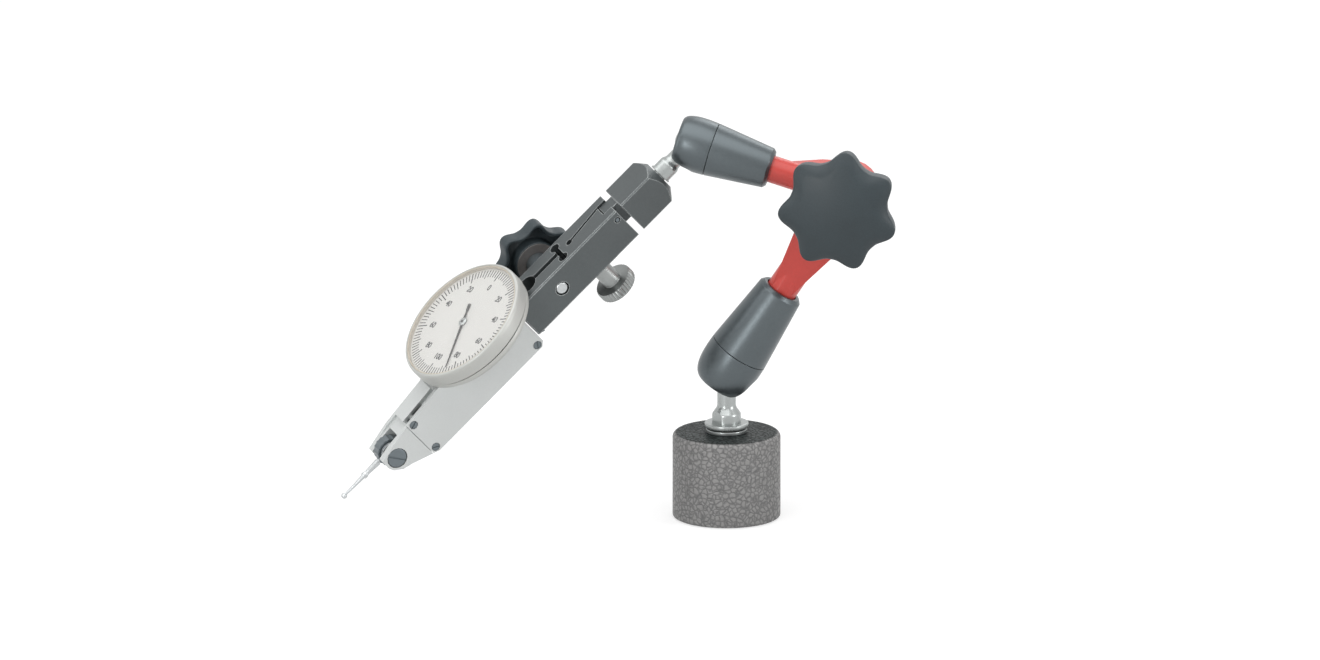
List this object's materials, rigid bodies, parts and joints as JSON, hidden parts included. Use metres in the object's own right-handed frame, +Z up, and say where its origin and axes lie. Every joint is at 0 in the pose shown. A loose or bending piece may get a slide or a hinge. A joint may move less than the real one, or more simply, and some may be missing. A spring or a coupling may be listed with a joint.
{
  "type": "magnetic indicator stand",
  "caption": "Small articulated magnetic stand: ball-jointed arms locked by an elbow knob hold a lever-type dial indicator in a fine-adjustment holder.",
  "frame": {"origin": "centre of the magnet's underside, on the surface that the stand is set on", "axes": "+Z up out of the magnet; the elbow's hinge axis lies along Y in the stored pose, with the knob on the -Y side and the lower arm leaning towards +X"},
  "size_m": [0.152, 0.0597, 0.1137],
  "materials": {
    "hammer_paint": "satin",
    "magnet_steel": "satin",
    "resin": "matte",
    "zinc": "satin",
    "grey_shell": "satin",
    "red_arm": "satin",
    "steel": "satin",
    "brass": "satin",
    "knob_plastic": "matte",
    "black_holder": "satin",
    "dark_steel": "satin",
    "satin_chrome": "satin",
    "dial_white": "matte",
    "clear_crystal": "polished",
    "needle": "satin"
  },
  "bodies": {
    "foot": {"magnet_housing": "hammer_paint", "magnet_core": "magnet_steel", "filler_ring": "resin", "base_washer": "zinc"},
    "lower_stud": {"lower_ball_stud": "zinc"},
    "lower_shell": {"lower_socket_cap": "grey_shell", "lower_arm_sleeve": "grey_shell"},
    "lower_cup": {"lower_pressure_cup": "steel"},
    "lower_arm": {"lower_joint_arm": "red_arm", "lower_retaining_collar": "steel", "thrust_washer": "steel"},
    "lower_rod": {"lower_push_rod": "steel"},
    "spindle": {"clamp_spindle": "steel"},
    "knob": {"elbow_knob": "knob_plastic", "knob_insert": "brass"},
    "upper_arm": {"upper_joint_arm": "red_arm", "upper_retaining_collar": "steel"},
    "upper_rod": {"upper_push_rod": "steel"},
    "upper_shell": {"upper_socket_cap": "grey_shell", "upper_arm_sleeve": "grey_shell"},
    "upper_cup": {"upper_pressure_cup": "steel"},
    "upper_stud": {"upper_ball_stud": "zinc"},
    "head": {"head_block": "black_holder", "adjust_spring": "steel"},
    "holder": {"holder_bar": "black_holder", "pivot_pin": "steel", "clamp_spacer": "dark_steel"},
    "fine_screw": {"fine_adjust_screw": "steel"},
    "clamp": {"clamp_knob": "knob_plastic", "clamp_screw": "steel"},
    "indicator": {"indicator_body": "satin_chrome", "side_cover": "satin_chrome", "cover_screw_1": "dark_steel", "cover_screw_2": "dark_steel", "cover_screw_3": "dark_steel", "pivot_screw": "dark_steel", "rear_dovetail": "dark_steel", "hairspring": "steel", "dial_case": "satin_chrome"},
    "lever": {"stylus_lever": "steel"},
    "stylus": {"stylus_hub": "dark_steel", "stylus": "steel"},
    "sector": {"sector_lever": "brass"},
    "crown": {"crown_wheel": "brass"},
    "hand": {"pointer": "needle", "pointer_arbor": "steel"},
    "dial_ring": {"bezel": "satin_chrome", "dial_plate": "dial_white", "crystal": "clear_crystal"}
  },
  "joints": [
    {"name": "lower_stud_spin", "type": "hinge", "parent": "foot", "child": "lower_stud", "pos_m": [0, 0, 0.0417], "axis": [0, 0, 1], "continuous": true},
    {"name": "lower_ball_tilt", "type": "hinge", "parent": "lower_stud", "child": "lower_shell", "pos_m": [0, 0, 0.0417], "axis": [0, 1, 0], "range_deg": [-53.3, 56.7]},
    {"name": "lower_arm_roll", "type": "hinge", "parent": "lower_shell", "child": "lower_arm", "pos_m": [0, 0, 0.0417], "axis": [0.549, 0, 0.8358], "continuous": true},
    {"name": "elbow_hinge", "type": "hinge", "parent": "lower_arm", "child": "upper_arm", "pos_m": [0.03382, 0, 0.09319], "axis": [0, 1, 0], "range_deg": [-25, 235]},
    {"name": "upper_arm_roll", "type": "hinge", "parent": "upper_arm", "child": "upper_shell", "pos_m": [-0.00988, 0, 0.10621], "axis": [0.9583, 0, -0.2857], "continuous": true},
    {"name": "upper_ball_tilt", "type": "hinge", "parent": "upper_shell", "child": "upper_stud", "pos_m": [-0.00988, 0, 0.10621], "axis": [-0.0869, 0.9527, -0.2914], "range_deg": [-26.6, 83.4]},
    {"name": "head_spin", "type": "hinge", "parent": "upper_stud", "child": "head", "pos_m": [-0.00988, 0, 0.10621], "axis": [0.6725, 0.2719, 0.6884], "continuous": true},
    {"name": "elbow_knob_turn", "type": "hinge", "parent": "lower_arm", "child": "knob", "pos_m": [0.03382, 0, 0.09319], "axis": [0, -1, 0], "range_deg": [0, 160]},
    {"name": "spindle_slide", "type": "slide", "parent": "lower_arm", "child": "spindle", "axis": [0, 1, 0], "range_m": [0, 0.00056]},
    {"name": "lower_rod_slide", "type": "slide", "parent": "lower_arm", "child": "lower_rod", "axis": [0.549, 0, 0.8358], "range_m": [0, 0.00022]},
    {"name": "lower_cup_slide", "type": "slide", "parent": "lower_shell", "child": "lower_cup", "axis": [0.549, 0, 0.8358], "range_m": [0, 0.00022]},
    {"name": "upper_rod_slide", "type": "slide", "parent": "upper_arm", "child": "upper_rod", "axis": [0.9583, 0, -0.2857], "range_m": [0, 0.00022]},
    {"name": "upper_cup_slide", "type": "slide", "parent": "upper_shell", "child": "upper_cup", "axis": [0.9583, 0, -0.2857], "range_m": [0, 0.00022]},
    {"name": "fine_screw_turn", "type": "hinge", "parent": "holder", "child": "fine_screw", "pos_m": [-0.03839, -0.01153, 0.07702], "axis": [-0.5347, -0.4646, 0.7058], "range_deg": [-540, 180]},
    {"name": "fine_adjust", "type": "hinge", "parent": "head", "child": "holder", "pos_m": [-0.03139, -0.00944, 0.08795], "axis": [-0.5117, 0.8428, 0.1671], "range_deg": [-3.3, 1.15], "deforming": ["adjust_spring"]},
    {"name": "clamp_knob_turn", "type": "hinge", "parent": "holder", "child": "clamp", "pos_m": [-0.04606, -0.01463, 0.06918], "axis": [-0.5117, 0.8428, 0.1671], "range_deg": [-180, 0]},
    {"name": "indicator_slide", "type": "slide", "parent": "holder", "child": "indicator", "axis": [-0.5347, -0.4646, 0.7058], "range_m": [0, 0.008]},
    {"name": "pointer_turn", "type": "hinge", "parent": "indicator", "child": "hand", "pos_m": [-0.06663, -0.02441, 0.05551], "axis": [-0.5347, -0.4646, 0.7058], "range_deg": [-360, 360], "stiffness_Nm_per_rad": 0.000002},
    {"name": "lever_tilt", "type": "hinge", "parent": "indicator", "child": "lever", "pos_m": [-0.08952, -0.03192, 0.02331], "axis": [0.5117, -0.8428, -0.1671], "range_deg": [-0.65, 0.65]},
    {"name": "sector_tilt", "type": "hinge", "parent": "indicator", "child": "sector", "pos_m": [-0.07045, -0.02421, 0.04283], "axis": [0.5117, -0.8428, -0.1671], "range_deg": [-2.6, 2.6]},
    {"name": "crown_turn", "type": "hinge", "parent": "indicator", "child": "crown", "pos_m": [-0.06289, -0.02116, 0.05057], "axis": [0.5117, -0.8428, -0.1671], "range_deg": [-36.5, 36.5]},
    {"name": "stylus_swivel", "type": "hinge", "parent": "lever", "child": "stylus", "pos_m": [-0.08952, -0.03192, 0.02331], "axis": [0.5117, -0.8428, -0.1671], "range_deg": [-100, 100]},
    {"name": "bezel_turn", "type": "hinge", "parent": "indicator", "child": "dial_ring", "pos_m": [-0.06663, -0.02441, 0.05551], "axis": [-0.5347, -0.4646, 0.7058], "continuous": true}
  ],
  "couplings": [
    {"joint": "spindle_slide", "follows": "elbow_knob_turn", "m_per_rad": 0.00019894},
    {"joint": "lower_rod_slide", "follows": "elbow_knob_turn", "m_per_rad": 0.000076067},
    {"joint": "lower_cup_slide", "follows": "elbow_knob_turn", "m_per_rad": 0.000076067},
    {"joint": "upper_rod_slide", "follows": "elbow_knob_turn", "m_per_rad": 0.000076067},
    {"joint": "upper_cup_slide", "follows": "elbow_knob_turn", "m_per_rad": 0.000076067},
    {"joint": "fine_adjust", "follows": "fine_screw_turn", "ratio": 0.0059834},
    {"joint": "lever_tilt", "follows": "pointer_turn", "ratio": 0.0017857},
    {"joint": "sector_tilt", "follows": "pointer_turn", "ratio": -0.0071429},
    {"joint": "crown_turn", "follows": "pointer_turn", "ratio": 0.1}
  ]
}
